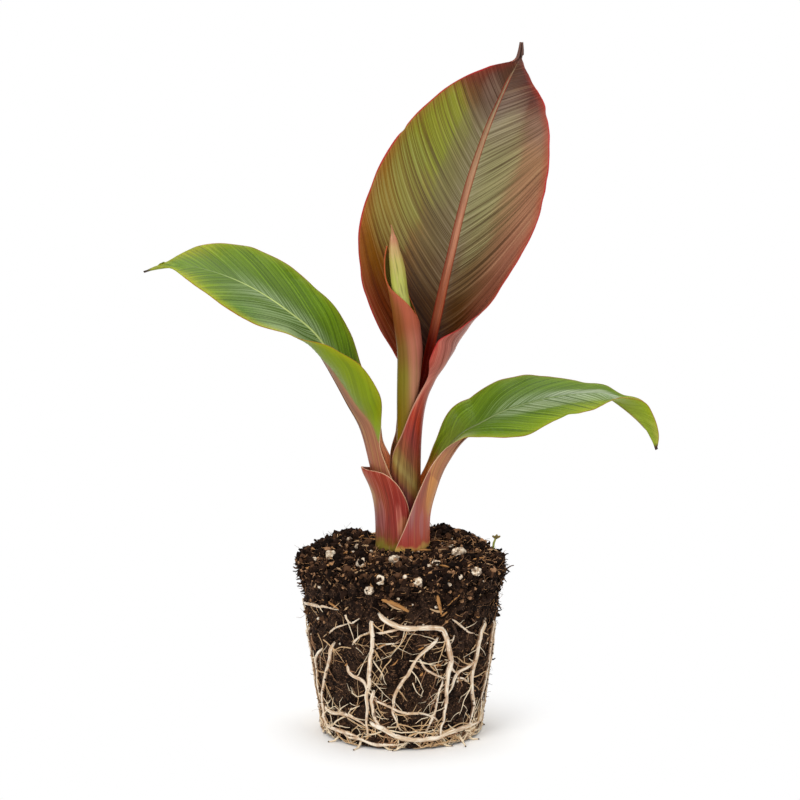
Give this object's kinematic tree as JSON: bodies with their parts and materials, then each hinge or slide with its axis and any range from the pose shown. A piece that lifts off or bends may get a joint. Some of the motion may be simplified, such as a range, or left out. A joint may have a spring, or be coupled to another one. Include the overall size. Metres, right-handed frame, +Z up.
{
  "type": "red abyssinian banana plant",
  "caption": "Young red-leaved banana plant on its bare root ball: wrapped leaf bases, arching green leaves, a tall red leaf and a furled new leaf.",
  "frame": {"origin": "centre of the flat underside of the root ball", "axes": "+Z up along the stem, +X to the right towards the drooping leaf, +Y to the back"},
  "size_m": [0.2523, 0.1001, 0.3395],
  "materials": {
    "root_ball": "crumbly",
    "sheath_red": "satin",
    "blade_green": "satin",
    "blade_red": "satin",
    "blade_rolled": "satin",
    "spear": "satin"
  },
  "bodies": {
    "root": {"root_ball": "root_ball", "outer_sheath": "sheath_red", "right_leaf_sheath": "sheath_red", "left_leaf_sheath": "sheath_red", "tall_leaf_sheath": "sheath_red", "right_leaf_blade": "blade_green", "right_leaf_tip": "blade_green", "left_leaf_base": "blade_green", "left_leaf_blade": "blade_green", "tall_leaf_blade": "blade_red", "rolled_leaf": "blade_rolled", "spear_leaf": "spear"}
  },
  "joints": []
}
